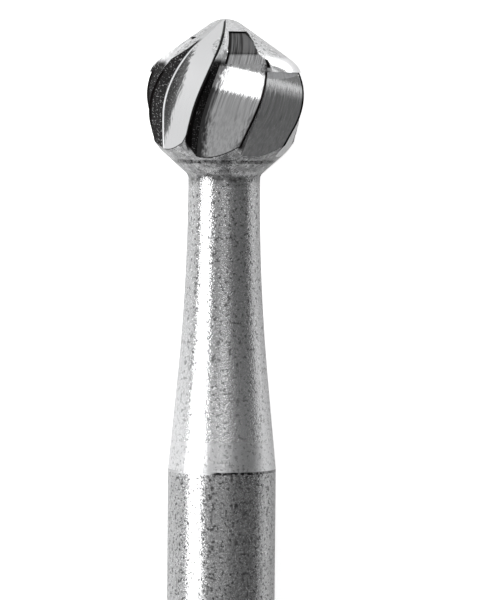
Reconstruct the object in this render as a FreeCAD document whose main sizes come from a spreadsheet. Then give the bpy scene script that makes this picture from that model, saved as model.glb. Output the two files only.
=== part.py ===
import FreeCAD, Part
import math
import os
import Sketcher

# Round carbide burr, lying on a bench. The carbide head and its tapered neck are one piece, brazed to a
# plain steel shank. Millimetres and degrees. A body's own Z runs from the shank's end towards the tip and
# its origin is the ball's centre. In the row's frame the tip points along +Y and the bench is Z = 0.

doc = FreeCAD.newDocument("carbide_burr")

# Driving dimensions: every size that can be set by itself is written once, here.
SIZES = {
    "overall_length": 19.0,     # shank end to tip
    "shank_diameter": 1.6,
    "shank_chamfer": 0.15,
    "carbide_length": 6.64,     # tip to brazed face
    "braze_thickness": 0.04,
    "head_diameter": 2.45,      # over the cutting edges
    "crown_depth": 0.59,        # ball's centre back to where the rear cone starts
    "cone_angle": 48.0,         # rear cone, from the axis
    "neck_diameter": 1.06,      # at its narrowest, just behind the rear cone
    "neck_fillet": 0.12,
    "taper_share": 0.655,       # share of the neck's length over which the taper, carried on, would reach
                                # from the braze to the neck's narrowest line
    "point_angle": 54.7,        # tip's cone, from the axis
    "point_radius": 0.42,       # rounding of the tip
    "shoulder_radius": 0.45,    # between the ball and the tip's cone
    "twist_per_mm": 18.0,       # how far the flutes turn about the axis for each millimetre along it
    "wall_reach": 0.863,        # flute wall's distance from the ball's centre, as a share of its radius
    "wall_lean": 15.0,          # from a tooth's edge round to the foot of the wall in front of it
    "gullet_lead": 5.0,         # from a tooth's edge round to the root of the flute in front of it
    "centre_gullet_lead": 9.0,  # the same, for the flutes that run to the tip's centre
    "gullet_radius": 0.02,      # at the root
    "rear_runout": 20.5,        # where the grinding path leaves the ball behind the head
    "centre_rear_runout": 10.0,  # the same, for the flutes that run to the tip's centre
    "tip_runout": 57.0,         # where the grinding path leaves the ball towards the tip
    "short_flute_top": 24.5,    # latitude on the grinding path at which the short flute stops
    "middle_flute_run": 0.12,   # how far the middle flute goes on past the ball along the tangent
    "pocket_lead": 8.75,        # from a long tooth's edge round to the side of the pocket in front of it
    "pocket_depth": 0.048,      # below the tip's cone
    "pocket_entry": 39.0,       # slope of the pocket's lower half, from the axis
    "pocket_start": 0.49,       # heights above the ball's centre: where the pocket starts,
    "pocket_bend": 0.72,        # where it turns along the tip's cone,
    "pocket_ledge": 1.035,      # and its flat end
}

TEETH = 8
PITCH = 360 / TEETH

sheet = doc.addObject("Spreadsheet::Sheet", "Sizes")
for row, (alias, number) in enumerate(SIZES.items(), 1):
    sheet.set(f"A{row}", alias.replace("_", " "))
    sheet.set(f"B{row}", str(number))
    sheet.setAlias(f"B{row}", alias)
doc.recompute()

# Lengths that several pieces share
RADIUS = "(Sizes.head_diameter / 2)"
SHANK_RADIUS = "(Sizes.shank_diameter / 2)"
RIM_RADIUS = f"({SHANK_RADIUS} - Sizes.shank_chamfer)"
BRAZE_FACE = f"(Sizes.carbide_length - {RADIUS})"
SHANK_FACE = f"({BRAZE_FACE} + Sizes.braze_thickness)"
SHANK_END = f"(Sizes.overall_length - {RADIUS})"

# The neck runs from its waist, where it is narrowest, to the brazed face, and flares into a straight taper.
CROWN_RADIUS = f"sqrt({RADIUS} ^ 2 - Sizes.crown_depth ^ 2)"
FILLET_TOP = "(Sizes.neck_diameter / 2 + Sizes.neck_fillet * (1 - cos(Sizes.cone_angle)))"
CONE_END = f"(Sizes.crown_depth + ({CROWN_RADIUS} - {FILLET_TOP}) / tan(Sizes.cone_angle))"
WAIST = f"({CONE_END} + Sizes.neck_fillet * sin(Sizes.cone_angle))"
TAPER_RISE = f"({SHANK_RADIUS} - Sizes.neck_diameter / 2)"
TAPER_ANGLE = f"(atan({TAPER_RISE} / (Sizes.taper_share * ({BRAZE_FACE} - {WAIST}))) / 1 deg)"

# The burr lies on two neighbouring teeth and on the rim of the shank's end, so its tip sits a little high.
REST_HEIGHT = f"({RADIUS} * cos({PITCH / 2}))"
REST_TILT = f"asin(({REST_HEIGHT} - {SHANK_RADIUS}) / ({SHANK_END} - Sizes.shank_chamfer))"
BALL_SPAN = "(Sizes.overall_length - Sizes.head_diameter)"
BALL_Y = f"(({BALL_SPAN} * cos({REST_TILT}) + {RIM_RADIUS} * sin({REST_TILT})) / 2)"


def value(expression):
    """What an expression over the sheet comes to, as a plain number."""
    result = sheet.evalExpression(expression)
    return float(getattr(result, "Value", result))


def new_body(name):
    """A body whose label names its node, turned from its own upright frame to the burr's rest."""
    body = doc.addObject("PartDesign::Body", name)
    body.Label = name
    place = f"vector(0; {BALL_Y}; {REST_HEIGHT})"
    turn = f"rotation(vector(1; 0; 0); {REST_TILT} - 90 deg)"
    body.setExpression("Placement", f"placement({place}; {turn})")
    return body


def origin_feature(body, role):
    """The body's own origin plane or axis that has this role."""
    for feature in body.Origin.OriginFeatures:
        if feature.Role == role:
            return feature
    raise ValueError(role)


def new_sketch(body, name, role):
    """An empty sketch on one of the body's origin planes."""
    sketch = body.newObject("Sketcher::SketchObject", name)
    sketch.AttachmentSupport = [(origin_feature(body, role), "")]
    sketch.MapMode = "FlatFace"
    return sketch


def size(sketch, name, expression, *constraint):
    """Adds one named constraint and binds it to the sheet."""
    index = sketch.addConstraint(Sketcher.Constraint(*constraint, value(expression)))
    sketch.renameConstraint(index, name)
    sketch.setExpression(f"Constraints.{name}", expression)


def angle(sketch, name, expression, *constraint):
    """Adds one named angle, of a line from the sketch's X axis, and binds it to the sheet."""
    index = sketch.addConstraint(Sketcher.Constraint("Angle", *constraint, math.radians(value(expression))))
    sketch.renameConstraint(index, name)
    sketch.setExpression(f"Constraints.{name}", f"({expression}) * 1 deg")


def point(x, y):
    return FreeCAD.Vector(x, y, 0)


def arc(x, y, radius, start, end):
    """An arc given by its centre, its radius and its two angles in radians."""
    return Part.ArcOfCircle(Part.Circle(point(x, y), FreeCAD.Vector(0, 0, 1), radius), start, end)


def line(a, b):
    return Part.LineSegment(point(*a), point(*b))


START, END, CENTRE = range(1, 4)
HORIZONTAL_AXIS, VERTICAL_AXIS = range(-1, -3, -1)
ORIGIN = (HORIZONTAL_AXIS, START)


# Carbide head and neck: the blank is turned from one profile

def blank_profile(body):
    """Half section of the blank: tip, ball, rear cone, fillet, flared neck and the brazed face."""
    ball = value(RADIUS)
    crown = value("Sizes.crown_depth")
    cone = math.radians(value("Sizes.cone_angle"))
    neck = value("Sizes.neck_diameter") / 2
    fillet = value("Sizes.neck_fillet")
    taper = math.radians(value(TAPER_ANGLE))
    rim = value(SHANK_RADIUS)
    face = value(BRAZE_FACE)
    crown_radius = value(CROWN_RADIUS)
    fillet_top = value(FILLET_TOP)
    cone_end = value(CONE_END)
    waist = value(WAIST)
    meet = face - (rim - neck) / math.tan(taper)
    flare = (meet - waist) / math.tan(taper / 2)

    peak = math.radians(value("Sizes.point_angle"))
    nose = value("Sizes.point_radius")
    shoulder = value("Sizes.shoulder_radius")
    nose_centre = ball - nose
    inner = ball - shoulder
    # The tip's cone touches the nose and the shoulder, so both centres lie at known distances from it.
    reach = nose_centre * math.sin(peak) + nose - shoulder
    shoulder_angle = peak - math.acos(reach / inner)
    shoulder_at = (inner * math.cos(shoulder_angle), inner * math.sin(shoulder_angle))
    cone_low = (shoulder_at[0] + shoulder * math.cos(peak), shoulder_at[1] + shoulder * math.sin(peak))
    cone_high = (nose * math.cos(peak), nose_centre + nose * math.sin(peak))

    sketch = new_sketch(body, "blank_profile", "XZ_Plane")
    ball_arc, tip_shoulder, tip_cone, tip_nose, cone_line = range(5)
    neck_curve, flare_curve, taper_line, face_line, axis_line = range(5, 10)
    sketch.addGeometry([
        arc(0, 0, ball, math.atan2(-crown, crown_radius), shoulder_angle),
        arc(*shoulder_at, shoulder, shoulder_angle, peak),
        line(cone_low, cone_high),
        arc(0, nose_centre, nose, peak, math.pi / 2),
        line((crown_radius, -crown), (fillet_top, -cone_end)),
        arc(neck + fillet, -waist, fillet, math.pi - cone, math.pi),
        arc(neck + flare, -waist, flare, math.pi, math.pi + taper),
        line((neck + flare * (1 - math.cos(taper)), -waist - flare * math.sin(taper)), (rim, -face)),
        line((rim, -face), (0, -face)),
        line((0, -face), (0, ball)),
    ], False)
    for joint in (
        (ball_arc, START, cone_line, START),
        (taper_line, END, face_line, START),
        (face_line, END, axis_line, START),
        (axis_line, END, tip_nose, END),
        (ball_arc, CENTRE, *ORIGIN),
    ):
        sketch.addConstraint(Sketcher.Constraint("Coincident", *joint))
    for joint in (
        (ball_arc, END, tip_shoulder, START),
        (tip_shoulder, END, tip_cone, START),
        (tip_cone, END, tip_nose, START),
        (cone_line, END, neck_curve, START),
        (neck_curve, END, flare_curve, START),
        (flare_curve, END, taper_line, START),
    ):
        sketch.addConstraint(Sketcher.Constraint("Tangent", *joint))
    sketch.addConstraint(Sketcher.Constraint("PointOnObject", axis_line, START, VERTICAL_AXIS))
    sketch.addConstraint(Sketcher.Constraint("PointOnObject", axis_line, END, VERTICAL_AXIS))
    sketch.addConstraint(Sketcher.Constraint("PointOnObject", tip_nose, CENTRE, VERTICAL_AXIS))
    sketch.addConstraint(Sketcher.Constraint("Horizontal", face_line))
    sketch.addConstraint(Sketcher.Constraint("Horizontal", neck_curve, CENTRE, neck_curve, END))
    size(sketch, "ball", RADIUS, "Radius", ball_arc)
    size(sketch, "tip", RADIUS, "DistanceY", *ORIGIN, tip_nose, END)
    size(sketch, "nose", "Sizes.point_radius", "Radius", tip_nose)
    size(sketch, "shoulder", "Sizes.shoulder_radius", "Radius", tip_shoulder)
    angle(sketch, "peak", "90 + Sizes.point_angle", tip_cone)
    size(sketch, "crown", "Sizes.crown_depth", "DistanceY", ball_arc, START, *ORIGIN)
    angle(sketch, "cone", "-90 - Sizes.cone_angle", cone_line)
    size(sketch, "fillet", "Sizes.neck_fillet", "Radius", neck_curve)
    size(sketch, "neck", "Sizes.neck_diameter / 2", "DistanceX", *ORIGIN, neck_curve, END)
    size(sketch, "rim", SHANK_RADIUS, "DistanceX", *ORIGIN, face_line, START)
    size(sketch, "face", BRAZE_FACE, "DistanceY", face_line, END, *ORIGIN)
    angle(sketch, "taper", f"{TAPER_ANGLE} - 90", taper_line)
    return sketch


head = new_body("cutting_head")
profile = blank_profile(head)
blank = head.newObject("PartDesign::Revolution", "blank")
blank.Profile = profile
blank.ReferenceAxis = (profile, ["V_Axis"])
blank.Angle = 360
doc.recompute()


# Flutes: each is a helical groove, cut as a loft through cross sections square to the burr's axis. The foot
# of its wall follows a ball a little smaller than the head, and leaves it along a tangent at either end.

FIRST_TOOTH = -PITCH / 2 - 90       # its edge at the ball's equator, in the body's own frame
FACE_REACH = 5                      # the face's far corner, in widths of the face beyond the edge
WALL_SPAN = 55                      # the wall's far corner, in degrees past the wall's foot
FAR_CORNER = (2.2, 28)              # the outer corner, in wall distances and degrees past the edge
REAR_RUN = (0.55, 0.18)             # cross sections behind the ball, in millimetres along the tangent
BALL_STEPS = (-1, -0.5, 0)          # cross sections on the rear half, in shares of the rear runout
TIP_STEPS = (0.25, 0.5, 0.75, 1)    # cross sections on the front half, in shares of the tip runout
TIP_RUN = (0.3, 0.63)               # cross sections beyond the ball, in millimetres along the tangent
POCKET_STEPS = (0, 0.5, 1)          # cross sections of each half of the pocket, in shares of its length
POCKET_SIDE = 1.5                   # how steeply the pocket's side stands, in wall distances at the edge


def on_path(latitude, beyond="0", side=1):
    """Height and wall distance of a cross section: on the small ball, or past it along the tangent."""
    height = f"({side} * ({RADIUS} * Sizes.wall_reach * sin({latitude}) + {beyond} * cos({latitude})))"
    reach = f"({RADIUS} * Sizes.wall_reach * cos({latitude}) - {beyond} * sin({latitude}))"
    return height, reach


def in_pocket(share, upper):
    """Height and wall distance of a cross section of the pocket: its upper half lies under the tip's cone."""
    nose = f"(({RADIUS} - Sizes.point_radius) * sin(Sizes.point_angle) + Sizes.point_radius)"
    roof = f"({nose} - Sizes.pocket_depth)"
    bend = f"(({roof} - Sizes.pocket_bend * sin(Sizes.point_angle)) / cos(Sizes.point_angle))"
    first, last, slope = ("bend", "ledge", "point_angle") if upper else ("start", "bend", "pocket_entry")
    height = f"(Sizes.pocket_{first} + {share} * (Sizes.pocket_{last} - Sizes.pocket_{first}))"
    return height, f"({bend} - ({height} - Sizes.pocket_bend) * tan(Sizes.{slope}))"


def flute_section(body, name, tooth, height, reach, lead, edge_reach):
    """One cross section of the cut in front of a tooth: its face, rounded root, wall and outer limit."""
    sketch = new_sketch(body, name, "XY_Plane")
    turn = f"rotation(vector(0; 0; 1); {FIRST_TOOTH + tooth * PITCH} + Sizes.twist_per_mm * {height})"
    sketch.setExpression("AttachmentOffset", f"placement(vector(0; 0; {height}); {turn})")

    root_reach = f"{reach} / cos(Sizes.wall_lean - {lead})"
    wall_corner = f"{reach} / cos({WALL_SPAN})"
    far_reach, far_angle = FAR_CORNER
    places = {
        "root": (f"{root_reach} * cos({lead})", f"{root_reach} * sin({lead})"),
        "face": (
            f"{FACE_REACH + 1} * {edge_reach} - {FACE_REACH} * {root_reach} * cos({lead})",
            f"-{FACE_REACH} * {root_reach} * sin({lead})",
        ),
        "far": (f"{far_reach} * {reach} * cos({far_angle})", f"{far_reach} * {reach} * sin({far_angle})"),
        "wall": (
            f"{wall_corner} * cos(Sizes.wall_lean + {WALL_SPAN})",
            f"{wall_corner} * sin(Sizes.wall_lean + {WALL_SPAN})",
        ),
    }
    at = {key: point(value(x), value(y)) for key, (x, y) in places.items()}
    radius = value("Sizes.gullet_radius")
    to_face = (at["face"] - at["root"]).normalize()
    to_wall = (at["wall"] - at["root"]).normalize()
    middle = (to_face + to_wall).normalize()
    half = math.acos(to_face.dot(middle))
    centre = at["root"] + middle * (radius / math.sin(half))
    on_face = at["root"] + to_face * (radius / math.tan(half))
    on_wall = at["root"] + to_wall * (radius / math.tan(half))
    first = math.atan2(on_wall.y - centre.y, on_wall.x - centre.x)
    last = math.atan2(on_face.y - centre.y, on_face.x - centre.x)

    root_arc, face_line, front_line, back_line, wall_line, root_point = range(6)
    sketch.addGeometry([
        arc(centre.x, centre.y, radius, first, last),
        Part.LineSegment(on_face, at["face"]),
        Part.LineSegment(at["face"], at["far"]),
        Part.LineSegment(at["far"], at["wall"]),
        Part.LineSegment(at["wall"], on_wall),
    ], False)
    sketch.addGeometry(Part.Point(at["root"]), True)
    sketch.addConstraint(Sketcher.Constraint("Tangent", root_arc, END, face_line, START))
    sketch.addConstraint(Sketcher.Constraint("Tangent", wall_line, END, root_arc, START))
    sketch.addConstraint(Sketcher.Constraint("Coincident", face_line, END, front_line, START))
    sketch.addConstraint(Sketcher.Constraint("Coincident", front_line, END, back_line, START))
    sketch.addConstraint(Sketcher.Constraint("Coincident", back_line, END, wall_line, START))
    sketch.addConstraint(Sketcher.Constraint("PointOnObject", root_point, START, face_line))
    sketch.addConstraint(Sketcher.Constraint("PointOnObject", root_point, START, wall_line))
    size(sketch, "radius", "Sizes.gullet_radius", "Radius", root_arc)
    for key, corner in (
        ("root", (root_point, START)),
        ("face", (face_line, END)),
        ("far", (back_line, START)),
        ("wall", (wall_line, START)),
    ):
        across, up = places[key]
        size(sketch, f"{key}_across", across, "DistanceX", *ORIGIN, *corner)
        size(sketch, f"{key}_up", up, "DistanceY", *ORIGIN, *corner)
    return sketch


def cut(body, name, tooth, steps, lead, edge_share):
    """Cuts in front of a tooth, through the cross sections in steps."""
    sections = [
        flute_section(body, f"{name}_section_{index}", tooth, height, reach, lead, f"{reach} * {edge_share}")
        for index, (height, reach) in enumerate(steps, 1)
    ]
    doc.recompute()
    loft = body.newObject("PartDesign::SubtractiveLoft", name)
    loft.Profile = sections[0]
    loft.Sections = sections[1:]
    doc.recompute()
    return loft


def flute(body, name, tooth, steps, lead="Sizes.gullet_lead"):
    """Cuts one flute, whose wall rises to the next tooth's edge."""
    return cut(body, name, tooth, steps, lead, f"(1 / cos({PITCH} - Sizes.wall_lean))")


def rear_path(runout):
    """Cross sections from behind the head to the ball's equator."""
    behind = [on_path(runout, step, -1) for step in REAR_RUN]
    return behind + [on_path(f"({step} * {runout})") for step in BALL_STEPS]


REAR = rear_path("Sizes.rear_runout")
FRONT = [on_path(f"({step} * Sizes.tip_runout)") for step in TIP_STEPS]
TIP = [on_path("Sizes.tip_runout", step) for step in TIP_RUN]
SHORT = [on_path("(0.5 * Sizes.short_flute_top)"), on_path("Sizes.short_flute_top")]

# Half the teeth differ from each other, and the other half repeat them on the far side.
MIDDLE = [on_path("Sizes.tip_runout", "Sizes.middle_flute_run")]
CENTRE_REAR = rear_path("Sizes.centre_rear_runout")
long_flute = flute(head, "long_flute", 0, REAR + FRONT + TIP)
short_flute = flute(head, "short_flute", 1, REAR + SHORT)
middle_flute = flute(head, "middle_flute", 2, REAR + FRONT + MIDDLE)
centre_flute = flute(head, "centre_flute", 3, CENTRE_REAR + FRONT + TIP, "Sizes.centre_gullet_lead")
POCKET = [in_pocket(step, False) for step in POCKET_STEPS]
POCKET += [in_pocket(step, True) for step in POCKET_STEPS[1:]]
pocket = cut(head, "tip_pocket", 0, POCKET, "Sizes.pocket_lead", POCKET_SIDE)

opposite = head.newObject("PartDesign::PolarPattern", "opposite_flutes")
opposite.Originals = [long_flute, short_flute, middle_flute, centre_flute, pocket]
opposite.Axis = (origin_feature(head, "Z_Axis"), [""])
opposite.Angle = 360
opposite.Occurrences = 2
head.Tip = opposite
doc.recompute()


def round_bar(body, name, start, length):
    """A plain bar of the shank's diameter, from a height downwards."""
    circle = new_sketch(body, f"{name}_circle", "XY_Plane")
    turn = "rotation(vector(0; 0; 1); 0)"
    circle.setExpression("AttachmentOffset", f"placement(vector(0; 0; -{start}); {turn})")
    circle.addGeometry(Part.Circle(point(0, 0), FreeCAD.Vector(0, 0, 1), value(SHANK_RADIUS)), False)
    circle.addConstraint(Sketcher.Constraint("Coincident", 0, CENTRE, *ORIGIN))
    size(circle, "rim", SHANK_RADIUS, "Radius", 0)
    bar = body.newObject("PartDesign::Pad", name)
    bar.Profile = circle
    bar.Reversed = True
    bar.setExpression("Length", length)
    doc.recompute()
    return bar


# Film of braze between the carbide and the steel
braze = new_body("braze_joint")
round_bar(braze, "film", BRAZE_FACE, "Sizes.braze_thickness")

# Steel shank, chamfered at its end
shank = new_body("shank")
rod = round_bar(shank, "rod", SHANK_FACE, f"{SHANK_END} - {SHANK_FACE}")
end_face = min(rod.Shape.Faces, key=lambda face: face.CenterOfMass.z)
end_edges = [
    f"Edge{number}" for number, edge in enumerate(rod.Shape.Edges, 1)
    if any(edge.isSame(other) for other in end_face.Edges)
]
end_chamfer = shank.newObject("PartDesign::Chamfer", "end_chamfer")
end_chamfer.Base = (rod, end_edges)
end_chamfer.setExpression("Size", "Sizes.shank_chamfer")
doc.recompute()

# Nothing is written unless every object is sound
for item in doc.Objects:
    if "Invalid" in item.State or "Error" in item.State:
        raise RuntimeError(f"{item.Label}: {item.State}")
    if item.isDerivedFrom("PartDesign::Feature") and (item.Shape.isNull() or not item.Shape.isValid()):
        raise RuntimeError(f"{item.Label}: its shape isn't valid")

os.makedirs("parts", exist_ok=True)
for body in (head, braze, shank):
    print(f"{body.Label}: {len(body.Shape.Solids)} solid, {body.Shape.Volume:.3f} cubic mm")
    body.Shape.exportStep(f"parts/{body.Label}.step")
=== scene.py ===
# %% [markdown]
# # A round carbide burr
#
# This burr is a cutting tool as long as a fingertip is wide. A ball with eight helical teeth and its neck
# are ground from one piece of tungsten carbide, and a film of braze joins them to a straight steel shank.
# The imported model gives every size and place, in metres. What is made here only carries its finish.

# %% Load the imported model
import math
from functools import partial

import bpy
from mathutils import Matrix, Vector


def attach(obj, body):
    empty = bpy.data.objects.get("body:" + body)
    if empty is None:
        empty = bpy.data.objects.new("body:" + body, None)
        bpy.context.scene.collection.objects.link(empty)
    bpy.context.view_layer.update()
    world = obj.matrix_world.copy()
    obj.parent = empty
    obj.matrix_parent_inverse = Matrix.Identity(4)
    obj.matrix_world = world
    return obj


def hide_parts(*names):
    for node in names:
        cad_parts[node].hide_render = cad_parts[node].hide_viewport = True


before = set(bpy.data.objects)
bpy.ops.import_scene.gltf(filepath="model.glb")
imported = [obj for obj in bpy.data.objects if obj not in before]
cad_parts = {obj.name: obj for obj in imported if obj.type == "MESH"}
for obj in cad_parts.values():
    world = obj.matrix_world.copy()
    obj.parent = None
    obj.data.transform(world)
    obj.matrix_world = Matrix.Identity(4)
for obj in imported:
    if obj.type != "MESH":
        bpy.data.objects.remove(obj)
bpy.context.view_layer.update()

# %% [markdown]
# ## Where the burr lies
#
# The burr lies on two teeth and on the rim of its shank's end, so its axis rises a little towards the tip.
# Everything turned or ground is easiest to describe in the burr's own upright frame: Z runs along the axis
# towards the tip, and the ball's centre is the origin. One matrix takes that frame to the bench.

# %% Sizes and the burr's own frame
MM = 0.001
BALL = 1.225 * MM               # the head's radius over its edges
SHANK = 0.8 * MM                # the shank's radius
LENGTH = 19.0 * MM              # from the tip to the shank's end
CARBIDE = 6.64 * MM             # from the tip to the braze
FILM = 0.04 * MM                # the braze's thickness
CHAMFER = 0.15 * MM
TEETH = 8
PITCH = math.tau / TEETH
TWIST_PER_MM = math.radians(18)

rest_height = BALL * math.cos(PITCH / 2)
tilt = math.asin((rest_height - SHANK) / (LENGTH - BALL - CHAMFER))
ball_y = ((LENGTH - 2 * BALL) * math.cos(tilt) + (SHANK - CHAMFER) * math.sin(tilt)) / 2
upright_to_bench = Matrix.Translation((0, ball_y, rest_height)) @ Matrix.Rotation(tilt - math.pi / 2, 4, "X")
print(f"tilt {math.degrees(tilt):.2f} degrees, ball's centre {rest_height / MM:.3f} mm up")

# %% [markdown]
# ## The turned outline
#
# Before its flutes are ground, the head is a plain turned blank. Its outline is a chain of arcs and straight
# runs that meet in tangents. Writing it as a formula, instead of a list of measured points, keeps every run
# true. Each stretch is divided finely where the light shows it, and coarsely along the plain neck.

# %% Measures of the blank
CROWN = 0.59 * MM               # how far behind its centre the ball's arc ends
CONE = math.radians(48)         # the rear cone's slope, from the axis
NECK = 0.53 * MM                # the waist's radius
FILLET = 0.12 * MM              # the hollow between the rear cone and the waist
TAPER_SHARE = 0.655             # the straight taper's share of the length from the waist to the braze
POINT = math.radians(54.7)      # the tip cone's slope, from level
NOSE = 0.42 * MM                # the tip's rounding
SHOULDER = 0.45 * MM            # the rounding between the tip's cone and the ball
FACE = CARBIDE - BALL           # how far behind the ball's centre the brazed face lies
STEPS = {
    "nose": 14, "tip cone": 40, "shoulder": 14, "ball": 84, "rear cone": 30,
    "fillet": 8, "flare": 30, "taper": 8, "brazed face": 2,
}


def arc_points(across, along, radius, start, end, steps):
    """Points on an arc, from one angle to another, without the last."""
    angles = [start + (end - start) * i / steps for i in range(steps)]
    return [(across + radius * math.cos(a), along + radius * math.sin(a)) for a in angles]


def run_points(first, last, steps):
    """Points on a straight run, without the last."""
    return [tuple(p + (q - p) * i / steps for p, q in zip(first, last)) for i in range(steps)]


# %% Outline of the blank, from the tip to the brazed face
def blank_outline():
    """(radius, height) from the tip down to the middle of the brazed face."""
    nose_centre = BALL - NOSE
    inner = BALL - SHOULDER
    turn = POINT - math.acos((nose_centre * math.sin(POINT) + NOSE - SHOULDER) / inner)
    shoulder_at = (inner * math.cos(turn), inner * math.sin(turn))
    cone_high = (NOSE * math.cos(POINT), nose_centre + NOSE * math.sin(POINT))
    cone_low = (shoulder_at[0] + SHOULDER * math.cos(POINT), shoulder_at[1] + SHOULDER * math.sin(POINT))
    crown_radius = math.sqrt(BALL**2 - CROWN**2)
    crown_angle = math.atan2(-CROWN, crown_radius)
    fillet_top = NECK + FILLET * (1 - math.cos(CONE))
    cone_end = CROWN + (crown_radius - fillet_top) / math.tan(CONE)
    waist = cone_end + FILLET * math.sin(CONE)
    straight = TAPER_SHARE * (FACE - waist)
    taper = math.atan((SHANK - NECK) / straight)
    flare = (FACE - straight - waist) / math.tan(taper / 2)
    flare_end = (NECK + flare * (1 - math.cos(taper)), -waist - flare * math.sin(taper))
    return (
        arc_points(0, nose_centre, NOSE, math.pi / 2, POINT, STEPS["nose"])
        + run_points(cone_high, cone_low, STEPS["tip cone"])
        + arc_points(*shoulder_at, SHOULDER, POINT, turn, STEPS["shoulder"])
        + arc_points(0, 0, BALL, turn, crown_angle, STEPS["ball"])
        + run_points((crown_radius, -CROWN), (fillet_top, -cone_end), STEPS["rear cone"])
        + arc_points(NECK + FILLET, -waist, FILLET, math.pi - CONE, math.pi, STEPS["fillet"])
        + arc_points(NECK + flare, -waist, flare, math.pi, math.pi + taper, STEPS["flare"])
        + run_points(flare_end, (SHANK, -FACE), STEPS["taper"])
        + run_points((SHANK, -FACE), (0, -FACE), STEPS["brazed face"])
        + [(0, -FACE)]
    )


# %% Heights at which flutes stop, with a step in the outline at each
REACH = 0.863                   # the radius of the ball that the wheel follows, as a share of the head's
REAR_RUNOUT = math.radians(20.5)
CENTRE_RUNOUT = math.radians(10)
TIP_RUNOUT = math.radians(57)
SHORT_END = math.radians(24.5)  # how high the short flutes go, seen from the ball's centre
MIDDLE_OVERRUN = 0.12 * MM      # how far past the tip's runout the middle flutes go
SHORT_TOP = BALL * REACH * math.sin(SHORT_END)
MIDDLE_TOP = BALL * REACH * math.sin(TIP_RUNOUT) + MIDDLE_OVERRUN * math.cos(TIP_RUNOUT)
POCKET_START = 0.49 * MM
POCKET_BEND = 0.72 * MM
POCKET_LEDGE = 1.035 * MM
HAIR = 0.001 * MM


def with_step(points, height):
    """The outline with two points a hair apart at a height, so that a flute can stop sharply there."""
    for i, (first, last) in enumerate(zip(points, points[1:])):
        if first[1] > height >= last[1]:
            share = (first[1] - height) / (first[1] - last[1])
            radius = first[0] + (last[0] - first[0]) * share
            pair = [(radius, height + HAIR), (radius, height - HAIR)]
            return points[:i + 1] + pair + points[i + 1:]
    raise ValueError(height)


outline = blank_outline()
for stop in (SHORT_TOP, MIDDLE_TOP, POCKET_LEDGE):
    outline = with_step(outline, stop)
print(f"{len(outline)} points on the blank's outline")

# %% [markdown]
# ## The ground flutes
#
# A grinding wheel cuts each flute along a helix. Square to the axis, every cross section is the same shape:
# a short face that falls from the tooth's edge to the flute's root, and a straight wall that rises to the
# next edge. Only its scale changes, because the wheel follows a ball slightly smaller than the head and
# leaves it along a tangent. A shape that follows such a rule suits Geometry Nodes: a grid is wrapped round
# the outline, turned with the helix so that its lines lie along the edges, and pushed in to the flutes.

# %% Helpers for building node trees
def joined(tree, kind, *values, **settings):
    """A new node with its settings, whose first inputs are linked or set: its first output."""
    node = tree.nodes.new(kind)
    for name, setting in settings.items():
        setattr(node, name, setting)
    for socket, given in zip([s for s in node.inputs if s.enabled], values):
        if given is None:
            continue
        if isinstance(given, bpy.types.NodeSocket):
            tree.links.new(given, socket)
        else:
            socket.default_value = given
    return next(s for s in node.outputs if s.enabled)


def maths(tree, operation, *values):
    """One maths step in a node tree."""
    return joined(tree, "ShaderNodeMath", *values, operation=operation)


def vector_maths(tree, operation, *values):
    """One vector step in a node tree."""
    return joined(tree, "ShaderNodeVectorMath", *values, operation=operation)


def choose(tree, test, if_not, if_so):
    """One of two numbers, by a test that is 0 or 1."""
    return joined(tree, "ShaderNodeMix", test, if_not, if_so, data_type="FLOAT")


def parts_of(tree, vector):
    """A vector's X, Y and Z."""
    node = tree.nodes.new("ShaderNodeSeparateXYZ")
    tree.links.new(vector, node.inputs[0])
    return node.outputs


def new_group(name, kind, takes, gives):
    """A node group with named sockets, listed by their kind: its tree, its inputs and its outputs."""
    tree = bpy.data.node_groups.new(name, kind)
    for way, sockets in (("INPUT", takes), ("OUTPUT", gives)):
        for value_kind, labels in sockets.items():
            for label in labels:
                tree.interface.new_socket(label, in_out=way, socket_type=f"NodeSocket{value_kind}")
    return tree, tree.nodes.new("NodeGroupInput").outputs, tree.nodes.new("NodeGroupOutput").inputs


def stored(tree, mesh, name, domain, number):
    """The mesh with a number written on its points or faces."""
    store = tree.nodes.new("GeometryNodeStoreNamedAttribute")
    store.data_type = "FLOAT"
    store.domain = domain
    store.inputs["Name"].default_value = name
    tree.links.new(mesh, store.inputs["Geometry"])
    tree.links.new(number, store.inputs["Value"])
    return store.outputs["Geometry"]


# %% [markdown]
# ### The grid and the wheel's path
#
# The grid's columns go round the burr, and its rows take their radius and height from the outline. The wall's
# distance from the axis is the small ball's radius at that height, and past a runout that of its tangent.

# %% A flat grid that knows its place on the blank
def wrapped_grid(tree, given):
    """A flat grid: its mesh, each point's share of the way round, and its radius and height on the blank."""
    do = partial(maths, tree)
    grid = tree.nodes.new("GeometryNodeMeshGrid")
    grid.inputs["Size X"].default_value = 1
    grid.inputs["Size Y"].default_value = 1
    tree.links.new(do("ADD", given["Columns"], 1), grid.inputs["Vertices X"])
    tree.links.new(given["Rows"], grid.inputs["Vertices Y"])
    place = parts_of(tree, joined(tree, "GeometryNodeInputPosition"))
    share = do("ADD", place["X"], 0.5)
    row = do("ROUND", do("MULTIPLY", do("ADD", place["Y"], 0.5), do("SUBTRACT", given["Rows"], 1)))
    sample = tree.nodes.new("GeometryNodeSampleIndex")
    sample.data_type = "FLOAT_VECTOR"
    tree.links.new(given["Outline"], sample.inputs["Geometry"])
    tree.links.new(joined(tree, "GeometryNodeInputPosition"), sample.inputs["Value"])
    tree.links.new(row, sample.inputs["Index"])
    blank = parts_of(tree, sample.outputs["Value"])
    return grid.outputs["Mesh"], share, blank["X"], blank["Z"]


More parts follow.
